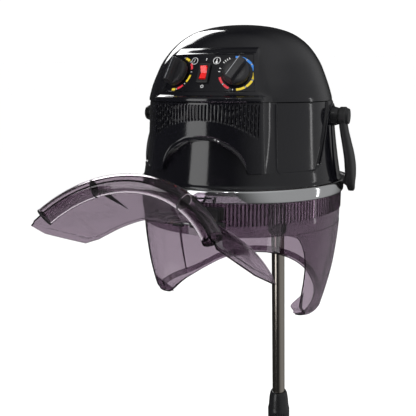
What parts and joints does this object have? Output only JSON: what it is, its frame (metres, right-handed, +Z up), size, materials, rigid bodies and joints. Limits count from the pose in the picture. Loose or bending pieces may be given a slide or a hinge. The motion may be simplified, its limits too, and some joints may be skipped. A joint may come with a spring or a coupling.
{
  "type": "hood hair dryer",
  "caption": "Hood hair dryer on a telescopic mast with caster star base, tilting domed hood, clear smoke skirt and flip-up visor.",
  "frame": {"origin": "on the floor, under the mast axis", "axes": "+Z up along the mast, -Y towards the face side of the hood, +X to the right hand of someone facing the hood"},
  "size_m": [0.6326, 0.8891, 1.4185],
  "materials": {
    "black_shell": "gloss",
    "black_matte": "satin",
    "black_gloss_nylon": "semi gloss",
    "chrome": "polished",
    "nickel_tube": "polished nickel",
    "black_tube": "powder coat",
    "smoke_plastic": "clear gloss",
    "red_switch": "gloss",
    "dial_yellow": "printed",
    "dial_blue": "printed",
    "brass": "bright",
    "steel": "zinc",
    "mica": "matte",
    "coil_wire": "oxidised",
    "fan_white": "satin",
    "bowl_aluminium": "satin",
    "wheel_grey": "matte",
    "gasket_rubber": "matte",
    "terminal_cream": "matte"
  },
  "bodies": {
    "base": {"star_base": "black_gloss_nylon", "base_bolt": "steel", "lower_tube": "black_tube", "tube_bush": "black_gloss_nylon", "collet": "black_gloss_nylon"},
    "height_lock": {"height_collar": "black_gloss_nylon"},
    "mast": {"upper_tube": "nickel_tube", "tube_glide": "black_gloss_nylon"},
    "yoke": {"yoke_socket": "black_gloss_nylon", "yoke_arm": "black_gloss_nylon", "pivot_bolts": "steel", "pivot_washers": "gasket_rubber", "pivot_caps": "black_gloss_nylon", "socket_screw": "steel"},
    "hood": {"upper_shell": "black_shell", "lower_shell": "black_shell", "seam_gasket": "gasket_rubber", "front_fascia": "black_shell", "panel_plate": "black_shell", "timer_scale": "dial_yellow", "temperature_scale": "dial_blue", "rocker_bezel": "black_matte", "timer_body": "black_matte", "thermostat_body": "terminal_cream", "chrome_ring": "chrome", "skirt": "smoke_plastic", "inner_bowl": "bowl_aluminium", "bowl_grille": "bowl_aluminium", "baffle": "steel", "baffle_screws": "steel", "heater_frame": "mica", "heater_coil": "coil_wire", "motor_body": "steel", "motor_bracket": "black_matte", "thermal_cutout": "steel", "terminal_block": "terminal_cream", "cord_gland": "black_matte", "hinge_bracket": "black_matte", "hinge_pin": "steel"},
    "visor": {"visor_sheet": "smoke_plastic", "visor_roll": "smoke_plastic", "roll_caps": "black_matte", "hinge_bar": "black_matte", "visor_screws": "brass", "hinge_knobs": "black_matte"},
    "timer": {"timer_knob": "black_gloss_nylon"},
    "temperature": {"temperature_knob": "black_gloss_nylon"},
    "rocker": {"rocker_button": "red_switch"},
    "fan": {"fan_wheel": "fan_white", "motor_shaft": "steel"},
    "caster_1": {"caster_fork_1": "black_gloss_nylon"},
    "wheels_1": {"caster_wheels_1": "wheel_grey"},
    "caster_2": {"caster_fork_2": "black_gloss_nylon"},
    "wheels_2": {"caster_wheels_2": "wheel_grey"},
    "caster_3": {"caster_fork_3": "black_gloss_nylon"},
    "wheels_3": {"caster_wheels_3": "wheel_grey"},
    "caster_4": {"caster_fork_4": "black_gloss_nylon"},
    "wheels_4": {"caster_wheels_4": "wheel_grey"},
    "caster_5": {"caster_fork_5": "black_gloss_nylon"},
    "wheels_5": {"caster_wheels_5": "wheel_grey"}
  },
  "joints": [
    {"name": "caster_swivel_1", "type": "hinge", "parent": "base", "child": "caster_1", "pos_m": [0, 0.285, 0.08], "axis": [0, 0, 1], "continuous": true},
    {"name": "wheel_spin_1", "type": "hinge", "parent": "caster_1", "child": "wheels_1", "pos_m": [0, 0.303, 0.025], "axis": [-1, 0, 0], "continuous": true},
    {"name": "caster_swivel_2", "type": "hinge", "parent": "base", "child": "caster_2", "pos_m": [-0.27105, 0.08807, 0.08], "axis": [0, 0, 1], "continuous": true},
    {"name": "wheel_spin_2", "type": "hinge", "parent": "caster_2", "child": "wheels_2", "pos_m": [-0.28817, 0.09363, 0.025], "axis": [-0.309, -0.9511, 0], "continuous": true},
    {"name": "caster_swivel_3", "type": "hinge", "parent": "base", "child": "caster_3", "pos_m": [-0.16752, -0.23057, 0.08], "axis": [0, 0, 1], "continuous": true},
    {"name": "wheel_spin_3", "type": "hinge", "parent": "caster_3", "child": "wheels_3", "pos_m": [-0.1781, -0.24513, 0.025], "axis": [0.809, -0.5878, 0], "continuous": true},
    {"name": "caster_swivel_4", "type": "hinge", "parent": "base", "child": "caster_4", "pos_m": [0.16752, -0.23057, 0.08], "axis": [0, 0, 1], "continuous": true},
    {"name": "wheel_spin_4", "type": "hinge", "parent": "caster_4", "child": "wheels_4", "pos_m": [0.1781, -0.24513, 0.025], "axis": [0.809, 0.5878, 0], "continuous": true},
    {"name": "caster_swivel_5", "type": "hinge", "parent": "base", "child": "caster_5", "pos_m": [0.27105, 0.08807, 0.08], "axis": [0, 0, 1], "continuous": true},
    {"name": "wheel_spin_5", "type": "hinge", "parent": "caster_5", "child": "wheels_5", "pos_m": [0.28817, 0.09363, 0.025], "axis": [-0.309, 0.9511, 0], "continuous": true},
    {"name": "height_lock_turn", "type": "hinge", "parent": "base", "child": "height_lock", "pos_m": [0, 0, 0.65], "axis": [0, 0, 1], "range_deg": [-90, 90]},
    {"name": "mast_slide", "type": "slide", "parent": "base", "child": "mast", "axis": [0, 0, 1], "range_m": [-0.2, 0.18]},
    {"name": "yoke_swivel", "type": "hinge", "parent": "mast", "child": "yoke", "pos_m": [0, 0, 1.12], "axis": [0, 0, 1], "range_deg": [-170, 170]},
    {"name": "hood_tilt", "type": "hinge", "parent": "yoke", "child": "hood", "pos_m": [0, -0.181, 1.284], "axis": [-1, 0, 0], "range_deg": [-4, 50]},
    {"name": "visor_flip", "type": "hinge", "parent": "hood", "child": "visor", "pos_m": [0, -0.35451, 1.15379], "axis": [1, 0, 0], "range_deg": [0, 126]},
    {"name": "timer_turn", "type": "hinge", "parent": "hood", "child": "timer", "pos_m": [-0.04855, -0.30345, 1.35547], "axis": [-0.3206, -0.807, 0.4959], "range_deg": [-300, 0]},
    {"name": "temperature_turn", "type": "hinge", "parent": "hood", "child": "temperature", "pos_m": [0.04093, -0.3061, 1.35566], "axis": [0.2703, -0.8245, 0.4971], "range_deg": [-210, 60]},
    {"name": "rocker_tip", "type": "hinge", "parent": "hood", "child": "rocker", "pos_m": [-0.00392, -0.30843, 1.35384], "axis": [0.9996, -0.0296, 0.0021], "range_deg": [-11, 0]},
    {"name": "fan_spin", "type": "hinge", "parent": "hood", "child": "fan", "pos_m": [0, -0.17779, 1.32989], "axis": [0, 0.0698, 0.9976], "continuous": true}
  ]
}
